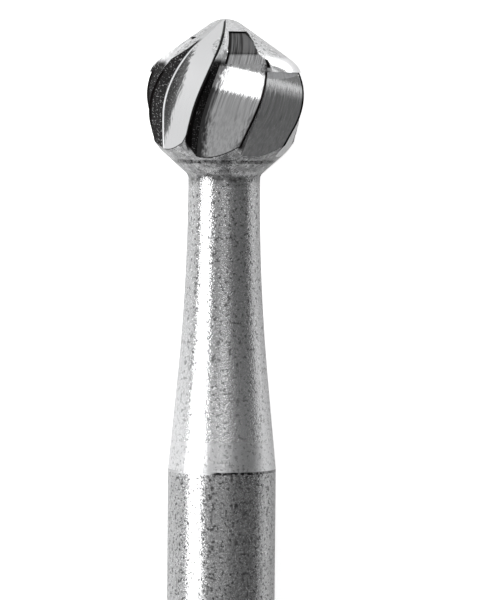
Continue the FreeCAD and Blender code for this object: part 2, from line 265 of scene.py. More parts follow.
# %% The walls' distance from the axis
def wall_distances(tree, given, height):
    """How far from the axis the walls lie at a height: those of most flutes, and of the centre flutes."""
    do = partial(maths, tree)
    small = do("MULTIPLY", given["Ball"], given["Reach"])
    squared = do("SUBTRACT", do("MULTIPLY", small, small), do("MULTIPLY", height, height))
    on_ball = do("SQRT", do("MAXIMUM", squared, 0))

    def past_runout(runout, along, before):
        """The tangent's distance past a runout, and until there the distance as before."""
        start = do("MULTIPLY", small, do("SINE", runout))
        reach = do("MULTIPLY", small, do("COSINE", runout))
        past = do("SUBTRACT", along, start)
        straight = do("SUBTRACT", reach, do("MULTIPLY", past, do("TANGENT", runout)))
        return choose(tree, do("GREATER_THAN", past, 0), before, straight)

    in_front = past_runout(given["Tip runout"], height, on_ball)
    backwards = do("MULTIPLY", height, -1)
    return [past_runout(given[runout], backwards, in_front) for runout in ("Rear runout", "Centre runout")]


# %% [markdown]
# ### The cross section
#
# Four kinds of flute repeat round the head: 0 has the pocket, 1 is short, 2 ends just short of the tip and 3
# goes through to the centre. A point's place in its pitch says whether it is on the tooth's face or on the
# wall. A wheel also cuts past its own edges, so the neighbours' sections count too, and the deepest one wins.

# %% The cross section's shape, as a share of the wall's distance
PAST_START = 1e-5               # radians added, so that a column on a pitch's start counts as inside it
SAME = 0.1                      # whole numbers nearer than this are the same
LEAST_SLOPE = 0.001             # keeps a face's divisor above nothing


class CrossSection:
    """The flutes square to the axis, at a point's share of the way round."""

    def __init__(self, tree, given, share):
        self.tree = tree
        self.given = given
        self.do = do = partial(maths, tree)
        self.pitch = do("DIVIDE", math.tau, given["Teeth"])
        around = do("ADD", do("MULTIPLY", share, math.tau), PAST_START)
        self.along = do("MODULO", around, self.pitch)
        self.tooth = do("FLOOR", do("DIVIDE", around, self.pitch))
        self.edge = do("DIVIDE", 1, do("COSINE", do("SUBTRACT", self.pitch, given["Lean"])))
        self.own_lead = self.lead(0)
        self.on_face = do("LESS_THAN", self.along, self.own_lead)
        self.behind_wall = self.wall(do("ADD", self.along, self.pitch))

    def kind(self, shift, index):
        """1 where the flute this many places on is of this kind."""
        place = self.do("FLOORED_MODULO", self.do("ADD", self.tooth, shift), 4)
        return self.do("COMPARE", place, index, SAME)

    def lead(self, shift):
        """The angle from that flute's edge to its root."""
        return choose(self.tree, self.kind(shift, 3), self.given["Lead"], self.given["Centre lead"])

    def wall(self, angle):
        """A straight wall, at an angle past its edge."""
        return self.do("DIVIDE", 1, self.do("COSINE", self.do("SUBTRACT", angle, self.given["Lean"])))

    def face(self, angle, lead):
        """A tooth's straight face, from its edge down to the root."""
        do = self.do
        root = self.wall(lead)
        root_up = do("MULTIPLY", root, do("SINE", lead))
        fall = do("SUBTRACT", do("MULTIPLY", root, do("COSINE", lead)), self.edge)
        slope = do(
            "SUBTRACT", do("MULTIPLY", do("COSINE", angle), root_up), do("MULTIPLY", do("SINE", angle), fall)
        )
        return do("DIVIDE", do("MULTIPLY", self.edge, root_up), do("MAXIMUM", slope, LEAST_SLOPE))


# %% What the wheels leave
NO_CUT = 10.0                   # metres from the axis, so that nothing is cut


def flute_cuts(section, height, walls):
    """How far from the axis a point's own flute leaves the metal, and the same for all flutes together."""
    tree = section.tree
    given = section.given
    do = section.do
    wall, centre_wall = walls

    def below_end(shift):
        """1 where that flute hasn't ended yet."""
        later = choose(tree, section.kind(shift, 2), NO_CUT, given["Middle top"])
        return do("LESS_THAN", height, choose(tree, section.kind(shift, 1), later, given["Short top"]))

    def cut(shift, shape):
        """How far from the axis that flute leaves the metal."""
        its_wall = choose(tree, section.kind(shift, 3), wall, centre_wall)
        return choose(tree, below_end(shift), NO_CUT, do("MULTIPLY", shape, its_wall))

    own_face = section.face(section.along, section.own_lead)
    own_cut = cut(0, choose(tree, section.on_face, section.wall(section.along), own_face))
    next_face = section.face(do("SUBTRACT", section.along, section.pitch), section.lead(1))
    return own_cut, do("MINIMUM", own_cut, do("MINIMUM", cut(-1, section.behind_wall), cut(1, next_face)))


def pocket_cut(section, height):
    """How far from the axis the pocket leaves the metal. Its bottom is parallel to the tip's cone."""
    tree = section.tree
    given = section.given
    do = section.do
    past_bend = do("SUBTRACT", height, given["Pocket bend"])
    entry = do("MULTIPLY", past_bend, do("TANGENT", given["Pocket entry"]))
    bottom = do("MULTIPLY", past_bend, do("TANGENT", given["Point"]))
    depth = do("SUBTRACT", given["Pocket reach"], do("MAXIMUM", entry, bottom))
    above_start = do("GREATER_THAN", height, given["Pocket start"])
    in_height = do("MULTIPLY", above_start, do("LESS_THAN", height, given["Pocket ledge"]))
    past_lead = do("GREATER_THAN", section.along, given["Pocket lead"])
    in_own = do("MULTIPLY", in_height, do("MULTIPLY", section.kind(0, 0), past_lead))
    in_next = do("MULTIPLY", in_height, section.kind(-1, 0))
    own = choose(tree, in_own, NO_CUT, section.wall(section.along))
    following = choose(tree, in_next, NO_CUT, section.behind_wall)
    return do("MULTIPLY", depth, do("MINIMUM", own, following))


# %% [markdown]
# ### What the finish needs to know
#
# The finish can't find a root or an edge by itself, so the tree writes it on the mesh: how deep the wheel
# went, how far it is to the root, the edge and the pocket's side, and which faces belong to what. The wheel's
# rim leaves the teeth's faces rough, and so it does every step that stands across a flute.

# %% Numbers written on the mesh
STANDING = 0.35                 # a face whose normal points outwards less than this stands across a flute
BELOW_NOSE = 0.93               # the part of the ball's radius in which such steps are looked for


def with_marks(section, mesh, radius, ground, own_cut, pocket, on_head):
    """The flat grid with its marks. Gaps are lengths round the axis, and past_root has a sign."""
    do = section.do
    along = section.along
    past_root = do("SUBTRACT", along, section.own_lead)
    gap = do("ABSOLUTE", past_root)
    root_gap = do("MINIMUM", gap, do("ABSOLUTE", do("SUBTRACT", gap, section.pitch)))
    on_own = do("LESS_THAN", own_cut, do("MINIMUM", radius, pocket))
    edge_gap = do("MINIMUM", along, do("SUBTRACT", section.pitch, along))
    pocket_gap = do("SUBTRACT", along, section.given["Pocket lead"])
    marks = {
        "ground_depth": ("POINT", do("SUBTRACT", radius, ground)),
        "root_gap": ("POINT", do("MULTIPLY", root_gap, ground)),
        "past_root": ("POINT", do("MULTIPLY", past_root, ground)),
        "tooth_face": ("FACE", do("MULTIPLY", do("MULTIPLY", section.on_face, on_own), on_head)),
        "centre_flute": ("FACE", section.kind(0, 3)),
        "shaded_root": ("FACE", do("MAXIMUM", section.kind(0, 0), section.kind(0, 3))),
        "edge_gap": ("POINT", do("MULTIPLY", edge_gap, radius)),
        "tip_pocket": ("FACE", do("LESS_THAN", pocket, do("MINIMUM", radius, own_cut))),
        "pocket_gap": ("POINT", do("MULTIPLY", pocket_gap, ground)),
    }
    for name, (domain, number) in marks.items():
        mesh = stored(section.tree, mesh, name, domain, number)
    return mesh


def with_steps_marked(tree, given, mesh):
    """The wrapped mesh with the faces marked that stand across a flute, below the nose."""
    do = partial(maths, tree)
    outwards = vector_maths(tree, "MULTIPLY", joined(tree, "GeometryNodeInputPosition"), (1, 1, 0))
    outwards = vector_maths(tree, "NORMALIZE", outwards)
    facing = tree.nodes.new("ShaderNodeVectorMath")
    facing.operation = "DOT_PRODUCT"
    tree.links.new(joined(tree, "GeometryNodeInputNormal"), facing.inputs[0])
    tree.links.new(outwards, facing.inputs[1])
    standing = do("LESS_THAN", do("ABSOLUTE", facing.outputs["Value"]), STANDING)
    now = parts_of(tree, joined(tree, "GeometryNodeInputPosition"))
    below_nose = do("LESS_THAN", do("ABSOLUTE", now["Z"]), do("MULTIPLY", given["Ball"], BELOW_NOSE))
    return stored(tree, mesh, "across_step", "FACE", do("MULTIPLY", standing, below_nose))


# %% The tree that grinds the flutes
WELD = 1e-8                     # metres, within which points are merged
FLUTE_INPUTS = {
    "Geometry": ["Outline"],
    "Float": [
        "Ball", "Reach", "Lean", "Lead", "Centre lead", "Twist",
        "Rear runout", "Centre runout", "Tip runout", "Short top", "Middle top", "Point",
        "Pocket lead", "Pocket start", "Pocket bend", "Pocket ledge", "Pocket reach", "Pocket entry",
    ],
    "Int": ["Teeth", "Columns", "Rows"],
    "Material": ["Finish"],
}


def flute_tree():
    """Wraps a grid round an outline and grinds the flutes into it."""
    tree, given, result = new_group(
        "ground flutes", "GeometryNodeTree", FLUTE_INPUTS, {"Geometry": ["Head"]}
    )
    do = partial(maths, tree)
    mesh, share, radius, height = wrapped_grid(tree, given)
    section = CrossSection(tree, given, share)
    own_cut, cuts = flute_cuts(section, height, wall_distances(tree, given, height))
    pocket = pocket_cut(section, height)
    on_head = do("GREATER_THAN", height, do("MULTIPLY", given["Ball"], -1))
    ground = do("MINIMUM", radius, choose(tree, on_head, radius, do("MINIMUM", cuts, pocket)))
    mesh = with_marks(section, mesh, radius, ground, own_cut, pocket, on_head)

    # Round the axis, turned with the helix
    turn = do("ADD", do("MULTIPLY", share, math.tau), do("MULTIPLY", height, given["Twist"]))
    turn = do("SUBTRACT", turn, do("ADD", math.pi / 2, do("DIVIDE", section.pitch, 2)))
    across = do("MULTIPLY", ground, do("COSINE", turn))
    spot = joined(tree, "ShaderNodeCombineXYZ", across, do("MULTIPLY", ground, do("SINE", turn)), height)
    mesh = joined(tree, "GeometryNodeSetPosition", mesh, None, spot)
    mesh = with_steps_marked(tree, given, mesh)

    closed = joined(tree, "GeometryNodeMergeByDistance", mesh, None, WELD)
    whole = joined(tree, "GeometryNodeRealizeInstances", closed)
    done = tree.nodes.new("GeometryNodeSetMaterial")
    tree.links.new(whole, done.inputs["Geometry"])
    tree.links.new(given["Finish"], done.inputs["Material"])
    tree.links.new(done.outputs["Geometry"], result["Head"])
    return tree


# %% [markdown]
# ## Where a point lies on the burr
#
# The marks that grinding leaves follow the burr, not the bench: rings run round the axis, and streaks follow
# the helix. So each finish first turns a surface point back to the burr's upright frame, in millimetres, and
# a second time without the twist, in which every flute is straight.

# %% Shader helpers
def placed(tree, group, **values):
    """A node group in a material, with its inputs linked or set: its outputs."""
    node = tree.nodes.new("ShaderNodeGroup")
    node.node_tree = group
    for name, given in values.items():
        socket = node.inputs[name.replace("_", " ")]
        if isinstance(given, bpy.types.NodeSocket):
            tree.links.new(given, socket)
        else:
            socket.default_value = given
    return node.outputs


def ramp(tree, number, low, high, at_low=0.0, at_high=1.0):
    """A soft step: one value below low, another above high."""
    return joined(
        tree, "ShaderNodeMapRange", number, low, high, at_low, at_high, interpolation_type="SMOOTHSTEP"
    )


def below(tree, number, start, end):
    """A mask that is whole up to a start and gone past an end."""
    return ramp(tree, number, start, end, 1.0, 0.0)


def times(tree, *numbers):
    """The product of several numbers."""
    product = numbers[0]
    for number in numbers[1:]:
        product = maths(tree, "MULTIPLY", product, number)
    return product


def either(tree, *masks):
    """The strongest of several masks."""
    strongest = masks[0]
    for mask in masks[1:]:
        strongest = maths(tree, "MAXIMUM", strongest, mask)
    return strongest


def noise(tree, where, scale, detail, roughness):
    """Soft noise, which lies mostly between 0.3 and 0.7."""
    return joined(tree, "ShaderNodeTexNoise", where, scale, detail, roughness)


# %% The burr's own space
def burr_space():
    """A surface point in the burr's upright frame, in millimetres, and the same without the helix's twist."""
    takes = {"Vector": ["Object"], "Float": ["Twist"]}
    tree, given, result = new_group(
        "burr space", "ShaderNodeTree", takes, {"Vector": ["Upright", "Untwisted"], "Float": ["Height"]}
    )
    place, turn, _ = upright_to_bench.inverted().decompose()
    back = joined(tree, "ShaderNodeMapping", given["Object"], place, turn.to_euler(), vector_type="POINT")
    upright = vector_maths(tree, "DIVIDE", back, (MM, MM, MM))
    height = parts_of(tree, upright)["Z"]
    angle = times(tree, height, given["Twist"], -1)
    untwisted = joined(tree, "ShaderNodeVectorRotate", upright, None, angle, rotation_type="Z_AXIS")
    tree.links.new(upright, result["Upright"])
    tree.links.new(untwisted, result["Untwisted"])
    tree.links.new(height, result["Height"])
    return tree


# %% [markdown]
# ## Marks that several pieces share
#
# Three effects come back on the carbide, the braze and the steel. Speckle is the fine pebbled skin of ground
# metal, dark in its pits and light on its grains. Scratches are stretched along one direction. A ring runs
# round the axis at one height, with a ragged edge, where a wheel stopped or the braze stained the metal.

# %% Speckle
SOFT = 0.06                     # how softly a pit or a grain ends, in steps of the noise
FINER = 2.3                     # how much finer the light grains are than the pits


def speckle():
    """Dark pits and light grains of one size, each as a mask, and the relief that they make."""
    tree, given, result = new_group(
        "speckle", "ShaderNodeTree", {"Vector": ["Where"], "Float": ["Grain", "Pits", "Grains"]},
        {"Float": ["Dark", "Light", "Relief"]},
    )
    scale = maths(tree, "DIVIDE", 1, given["Grain"])
    coarse = noise(tree, given["Where"], scale, 3.0, 0.6)
    fine = noise(tree, given["Where"], times(tree, scale, FINER), 2.0, 0.5)
    low = maths(tree, "SUBTRACT", given["Pits"], SOFT)
    tree.links.new(below(tree, coarse, low, given["Pits"]), result["Dark"])
    high = maths(tree, "ADD", given["Grains"], SOFT)
    tree.links.new(ramp(tree, fine, given["Grains"], high), result["Light"])
    tree.links.new(times(tree, maths(tree, "ADD", coarse, fine), 0.5), result["Relief"])
    return tree


# %% Scratches
DEEP_SHIFT = (7, 3, 5)          # moves the deep scratches' noise away from the streaks'
DEEP_SOFT = 0.04


def scratches():
    """Lines along one direction: the streaks' tone from 0 to 1, and a mask of the few deep ones."""
    tree, given, result = new_group(
        "scratches", "ShaderNodeTree", {"Vector": ["Where", "Stretch"], "Float": ["Share"]},
        {"Float": ["Tone", "Deep"]},
    )
    stretched = vector_maths(tree, "DIVIDE", given["Where"], given["Stretch"])
    tree.links.new(noise(tree, stretched, 1.0, 2.0, 0.6), result["Tone"])
    few = noise(tree, vector_maths(tree, "ADD", stretched, DEEP_SHIFT), 0.6, 1.0, 0.4)
    edge = maths(tree, "SUBTRACT", 1, given["Share"])
    tree.links.new(ramp(tree, few, edge, maths(tree, "ADD", edge, DEEP_SOFT)), result["Deep"])
    return tree


# %% Ring
PATCH_SHIFT = (4, 9, 2)         # moves the gaps' noise away from the wandering edge's
PATCH_SOFT = 0.05


def ring():
    """A mask round the axis at one height, whose edges wander and whose line breaks up."""
    takes = {"Vector": ["Where"], "Float": ["Height", "At", "Half width", "Wander", "Gaps"]}
    tree, given, result = new_group("ring", "ShaderNodeTree", takes, {"Float": ["Mask"]})
    wander = noise(tree, given["Where"], 9.0, 2.0, 0.6)
    shift = times(tree, maths(tree, "SUBTRACT", wander, 0.5), given["Wander"])
    off = maths(tree, "SUBTRACT", maths(tree, "ADD", given["Height"], shift), given["At"])
    core = times(tree, given["Half width"], 0.5)
    line = below(tree, maths(tree, "ABSOLUTE", off), core, given["Half width"])
    patch = noise(tree, vector_maths(tree, "ADD", given["Where"], PATCH_SHIFT), 5.0, 2.0, 0.6)
    whole = ramp(tree, patch, maths(tree, "SUBTRACT", given["Gaps"], PATCH_SOFT), given["Gaps"])
    tree.links.new(times(tree, line, whole), result["Mask"])
    return tree


# %% Build the shared groups
space_group = burr_space()
speckle_group = speckle()
scratch_group = scratches()
ring_group = ring()
print("shared groups:", [group.name for group in (space_group, speckle_group, scratch_group, ring_group)])

# %% A metal that starts from its place on the burr
WARM_DARK = (0.006, 0.005, 0.005, 1)
COOL_LIGHT = (0.985, 0.99, 1.0, 1)


def new_metal(name, twist):
    """A bare metal's node tree, its shader, and the burr's space in it."""
    metal = bpy.data.materials.new(name)
    metal.use_nodes = True
    tree = metal.node_tree
    shader = tree.nodes["Principled BSDF"]
    shader.inputs["Metallic"].default_value = 1
    spot = tree.nodes.new("ShaderNodeTexCoord").outputs["Object"]
    return metal, tree, shader, placed(tree, space_group, Object=spot, Twist=twist)


def grey(tree, tone):
    """A neutral metal's colour, a trace warmer where it is dark."""
    return joined(tree, "ShaderNodeMix", tone, WARM_DARK, COOL_LIGHT, data_type="RGBA")


def written(tree, name):
    """A number that the mesh carries."""
    node = tree.nodes.new("ShaderNodeAttribute")
    node.attribute_name = name
    return node.outputs["Fac"]


def relief(tree, shader, height, distance):
    """A fine bump from a height between 0 and 1."""
    bump = tree.nodes.new("ShaderNodeBump")
    bump.inputs["Distance"].default_value = distance
    tree.links.new(height, bump.inputs["Height"])
    tree.links.new(bump.outputs["Normal"], shader.inputs["Normal"])


# %% [markdown]
# ## Carbide
#
# The flutes are ground last, with a fine wheel, so their walls shine like a mirror and carry faint streaks
# along the helix. The teeth's faces and the ends of the flutes are touched only by the wheel's rim: they stay
# rough, and are painted almost black as shade. The tip, the cone and the neck keep the satin of the first
# turning, pebbled and with a dark ring where its wheel stopped.
#
# Each of these is a mask from the numbers on the mesh. Lengths are in millimetres, heights are counted from
# the ball's centre towards the tip, and tones run from black at 0 to white at 1.

# %% Where the wheel has been
GROUND = (0.0005, 0.002)        # depths between which the metal starts to count as ground
CENTRE_FACE_TOP = (0.85, 0.95)  # heights between which the painted shade on the centre flutes' faces and roots ends
FACE_TOP = (0.55, 0.65)         # and the other flutes'


def carbide_places(tree, height):
    """Masks, and distances in millimetres, from the numbers that the mesh carries."""
    at = {name: written(tree, name) for name in ("centre_flute", "shaded_root", "tooth_face", "tip_pocket")}
    for name in ("ground_depth", "root_gap", "past_root", "edge_gap", "pocket_gap"):
        at[name] = maths(tree, "DIVIDE", written(tree, name), MM)
    at["step"] = written(tree, "across_step")
    at["rough"] = either(tree, at["tooth_face"], at["step"])
    at["in_flute"] = ramp(tree, at["ground_depth"], *GROUND)
    at["below_tip"] = choose(
        tree, at["centre_flute"], below(tree, height, *FACE_TOP), below(tree, height, *CENTRE_FACE_TOP)
    )
    return at


# %% [markdown]
# ### Painted lines of shade and light
#
# Where the wheel enters the metal, along every edge and round the pocket, a dark line a pixel or two wide is
# painted as shade. The centre flutes' roots get a painted highlight instead. The edge line is wider on the
# crest behind a centre flute, and fades out where a flute ends on the blank.

# %% Painted lines of shade and light
ENTRY_DEPTH = (0.006, 0.012)    # the depth at which the entry line ends
ENTRY_TOP = (-0.4, -0.3)        # heights between which it ends
ROOT_WIDTH = (0.008, 0.018)     # half the width of the painted highlight in a centre flute's root
ROOT_TOP = (0.8, 0.95)
EDGE_WIDTH = (0.024, 0.038)
EDGE_BOTTOM = (-0.75, -0.65)
EDGE_TOP = (0.42, 0.48)
EDGE_FAINT = 0.1                # what is left of it above its top
CREST_START = 0.05              # how far past a centre root its crest's side begins
CREST_EXTRA = 0.012             # how much wider the line is there
POCKET_SIDE = (0.03, 0.05)
POCKET_TOP = (0.995, 1.02)


def painted_lines(tree, at, height):
    """Masks of the painted shade lines at the entry, the edges and the pocket's outline, and the roots'
    highlight.
    """
    entry = times(
        tree, at["in_flute"], below(tree, at["ground_depth"], *ENTRY_DEPTH), below(tree, height, *ENTRY_TOP)
    )
    in_centre = times(tree, at["centre_flute"], at["in_flute"])
    # The centre roots' painted highlight.
    root = times(tree, below(tree, at["root_gap"], *ROOT_WIDTH), in_centre, below(tree, height, *ROOT_TOP))
    crest = times(tree, at["centre_flute"], maths(tree, "GREATER_THAN", at["past_root"], CREST_START))
    from_edge = maths(tree, "SUBTRACT", at["edge_gap"], times(tree, crest, CREST_EXTRA))
    near_edge = times(tree, below(tree, from_edge, *EDGE_WIDTH), ramp(tree, height, *EDGE_BOTTOM))
    edge = times(tree, near_edge, choose(tree, crest, ramp(tree, height, *EDGE_TOP, 1.0, EDGE_FAINT), 1.0))
    pocket = either(tree, below(tree, at["pocket_gap"], *POCKET_SIDE), ramp(tree, height, *POCKET_TOP))
    return entry, edge, root, times(tree, at["tip_pocket"], pocket)


# %% [markdown]
# ### Satin skin
#
# The turned skin is speckled, smudged on the rear cone, and broken by two dotted dark rings. The lower neck
# has fewer pits than the rest, and its tone is painted lighter, standing in for the light that it mirrors.
# The shoulder above the short flutes has no bump, and its tone is painted nearly white as a highlight.

# %% Satin skin
SATIN = 0.6                     # tones of the skin, of its light grains and of its pits
SATIN_GRAIN = 0.97
SATIN_PIT = 0.05
PIT_STRENGTH = 0.7
LOW_NECK = (-5.4, -2.2)         # heights between which the lower neck's painted light and fewer pits turn into the rest
# The lower neck's tone, painted light.
LOW_NECK_PAINTED_LIGHT = 0.84
LOW_NECK_PITS = 0.4
CONE_BOTTOM = (-1.3, -1.1)      # heights between which the smudges start and end
CONE_TOP = (-0.6, -0.5)
SMUDGE = 0.12
RING = 0.01
DARK_RING = -0.875              # height of the ring on the rear cone
NECK_RING = -1.115              # and of the fainter one where the cone turns into the neck
NECK_RING_STRENGTH = 0.4
SHOULDER_BOTTOM = (0.3, 0.42)
SHOULDER_TOP = (0.62, 0.68)
# The shoulder's tone, a painted highlight.
PAINTED_SHOULDER_HIGHLIGHT = 0.98


def satin_skin(tree, height, where, grain):
    """The skin's tone, and a mask of the shoulder, which carries a painted highlight."""
    # Painted light: the lower neck's ground is lighter.
    painted_ground_tone = ramp(tree, height, *LOW_NECK, LOW_NECK_PAINTED_LIGHT, SATIN)
    tone = ramp(tree, grain["Light"], 0, 1, painted_ground_tone, SATIN_GRAIN)
    pits = times(tree, grain["Dark"], ramp(tree, height, *LOW_NECK, LOW_NECK_PITS, PIT_STRENGTH))
    tone = choose(tree, pits, tone, SATIN_PIT)

    blotches = placed(tree, speckle_group, Where=where, Grain=0.2, Pits=0.5, Grains=0.6)
    on_cone = times(tree, below(tree, height, *CONE_TOP), ramp(tree, height, *CONE_BOTTOM))
    smudge = times(tree, ramp(tree, blotches["Relief"], 0.4, 0.66, 0.7, 0.2), on_cone)
    tone = choose(tree, smudge, tone, SMUDGE)

    place = {"Where": where, "Height": height}
    first = placed(tree, ring_group, **place, At=DARK_RING, Half_width=0.034, Wander=0.04, Gaps=0.38)
    second = placed(tree, ring_group, **place, At=NECK_RING, Half_width=0.06, Wander=0.1, Gaps=0.5)
    rings = either(tree, first["Mask"], times(tree, second["Mask"], NECK_RING_STRENGTH))
    dotted = times(tree, rings, ramp(tree, grain["Relief"], 0.42, 0.52, 1.0, 0.5))
    tone = choose(tree, dotted, tone, RING)

    # The smooth shoulder, painted nearly white as a highlight.
    shoulder = times(tree, ramp(tree, height, *SHOULDER_BOTTOM), below(tree, height, *SHOULDER_TOP))
    return choose(tree, shoulder, tone, PAINTED_SHOULDER_HIGHLIGHT), shoulder


# %% [markdown]
# ### Mirror walls
#
# The walls carry streaks from the wheel's grit, which the centre flutes hardly show. Beside the roots a
# painted shade, standing in for the dark tooth face that the wall mirrors, frays along the streaks. In the
# centre flutes it grows into a broad speckled band of painted shade, whose width is a parabola of the height.

# %% Mirror walls
STREAK_RANGE = (0.3, 0.7)       # where most of the streaks' noise lies
STREAKS = (0.62, 0.8)           # tones of the walls' streaks
SCRATCH = 0.3
SCRATCH_STRENGTH = 0.3
CENTRE_WALL = 0.73
CENTRE_PLAIN = 0.9              # how much of the centre walls' streaks is gone
FRAY = 0.04
SHADE_WIDTH = (0.04, 0.2)       # from the root, where the shade is whole and where it ends
SHADE = 0.03
SHADE_STRENGTH = 0.95
BAND_HEIGHT = 0.1               # where the band is widest
BAND_REACH = 0.72               # how far it runs from there, up and down
BAND_WIDTH = 0.27
BAND_EDGE = (-0.03, 0.04)
BAND_DEPTH = (0.0, 0.2)         # over which it darkens from its edge to the root
BAND_SHADE_TONES = (0.11, 0.01)
BAND_GRAIN = 0.2


def mirror_wall(tree, at, height, streaks, grain):
    """The walls' tone, with streaks, the painted shade beside the roots and the centre flutes' band of it."""
    tone = ramp(tree, streaks["Tone"], *STREAK_RANGE, *STREAKS)
    tone = choose(tree, times(tree, streaks["Deep"], SCRATCH_STRENGTH), tone, SCRATCH)
    tone = choose(tree, times(tree, at["centre_flute"], CENTRE_PLAIN), tone, CENTRE_WALL)

    fray = ramp(tree, streaks["Tone"], *STREAK_RANGE, -FRAY, FRAY)
    # Painted shade beside the roots, standing in for the dark tooth face mirrored in the wall.
    shade = ramp(tree, maths(tree, "ADD", at["root_gap"], fray), *SHADE_WIDTH, SHADE_STRENGTH, 0.0)
    shade = times(tree, shade, at["shaded_root"], at["below_tip"])
    tone = choose(tree, choose(tree, at["centre_flute"], shade, 0.0), tone, SHADE)

    # The centre flutes' broad band of painted shade.
    away = maths(tree, "DIVIDE", maths(tree, "SUBTRACT", height, BAND_HEIGHT), BAND_REACH)
    width = times(tree, maths(tree, "SUBTRACT", 1, times(tree, away, away)), BAND_WIDTH)
    inside = maths(tree, "SUBTRACT", width, maths(tree, "ADD", at["past_root"], fray))
    band = times(tree, ramp(tree, inside, *BAND_EDGE, 0.0, SHADE_STRENGTH), at["centre_flute"])
    grains = ramp(tree, grain["Light"], 0, 1, 0, BAND_GRAIN)
    band_shade = maths(tree, "ADD", ramp(tree, inside, *BAND_DEPTH, *BAND_SHADE_TONES), grains)
    return choose(tree, band, tone, band_shade)


# %% [markdown]
# ### The pocket near the tip
#
# The shallow pocket is ground across the flute, so its streaks run up and down. Its sloping lower part is
# bright. Its bottom, parallel to the tip's cone, looks away from the light: it is coarse, and painted dark as
# shade.

# %% Pocket
POCKET_BOTTOM = (0.67, 0.71)    # heights between which the slope turns into the bottom
POCKET_STRETCH = 0.05           # how slowly its streaks change with height
POCKET_STREAKS = 36.0           # streaks per millimetre, roughly
POCKET_RANGE = (0.35, 0.65)
SLOPE_TONES = (0.45, 0.9)
# The pocket's bottom is painted dark, as shade.
BOTTOM_SHADE_TONES = (0.02, 0.14)


def pocket_tones(tree, at, height):
    """The pocket's tone, with painted shade on its bottom, and a mask of the bottom."""
    bottom = ramp(tree, height, *POCKET_BOTTOM)
    where = joined(
        tree, "ShaderNodeCombineXYZ", at["pocket_gap"], times(tree, height, POCKET_STRETCH), 0.0
    )
    streak = ramp(tree, noise(tree, where, POCKET_STREAKS, 2.0, 0.6), *POCKET_RANGE)
    on_slope = choose(tree, streak, *SLOPE_TONES)
    return choose(tree, bottom, on_slope, choose(tree, streak, *BOTTOM_SHADE_TONES)), bottom


# %% [markdown]
# ### All of it together
#
# The tones are laid over each other: skin, walls, pocket, the rough faces with their painted shade, and the
# painted lines last. The roughness follows the same masks, and a fine bump lifts the pebbled parts.

# %% Tones of the carbide
LINE = 0.01                     # painted shade of the entry line and the edges, and the roots' painted highlight
EDGE = 0.0
# The centre roots' painted highlight.
PAINTED_ROOT_HIGHLIGHT = 0.9
PAINTED_ROOT_HIGHLIGHT_STRENGTH = 0.8
ENTRY_STRENGTHS = (0.6, 0.95)   # the entry line's, in plain flutes and in those with a shaded root
ROUGH_FACE_SHADES = (0.02, 0.25)      # a rough face's painted shade, and its light grains
STEP_HEIGHTS = (0.5, 0.6)       # heights between which the steps turn to painted shade
STEP_SHADE_TONES = (0.8, 0.02)


def carbide_tone(tree, at, height, satin, wall, pocket, grain):
    """The carbide's tone, from its skin to the painted lines along its edges."""
    entry, edge, root, outline_of_pocket = painted_lines(tree, at, height)
    tone = choose(tree, at["in_flute"], satin, wall)
    entry_strength = choose(tree, at["shaded_root"], *ENTRY_STRENGTHS)
    # The entry line, painted shade.
    tone = choose(tree, times(tree, entry, entry_strength), tone, LINE)
    tone = choose(tree, at["tip_pocket"], tone, pocket)
    # The pocket's outline, painted shade.
    tone = choose(tree, outline_of_pocket, tone, EDGE)
    # The teeth's faces: rough, and painted almost black as shade.
    black = ramp(tree, grain["Light"], 0, 1, *ROUGH_FACE_SHADES)
    tone = choose(tree, times(tree, at["tooth_face"], at["below_tip"]), tone, black)
    # Steps across the flutes, painted dark as shade towards the tip.
    tone = choose(tree, at["step"], tone, ramp(tree, height, *STEP_HEIGHTS, *STEP_SHADE_TONES))
    # The edge lines, painted shade.
    tone = choose(tree, edge, tone, EDGE)
    # The centre roots' painted highlight.
    return choose(tree, times(tree, root, PAINTED_ROOT_HIGHLIGHT_STRENGTH), tone, PAINTED_ROOT_HIGHLIGHT)


# %% Carbide finish
NECK_HEIGHTS = (-5.4, -2.5)     # heights between which the neck gets smoother
NECK_ROUGHNESS = (0.28, 0.17)
WALL_ROUGHNESS = (0.06, 0.14)
POCKET_ROUGHNESS = 0.3
ROUGH_ROUGHNESS = 0.5
HEAD_START = (-1.1, -0.9)       # heights between which the skin's bump fades towards the head
HEAD_BUMP = 0.25
GROOVE_BUMP = 0.12
CARBIDE_BUMP = 0.01 * MM


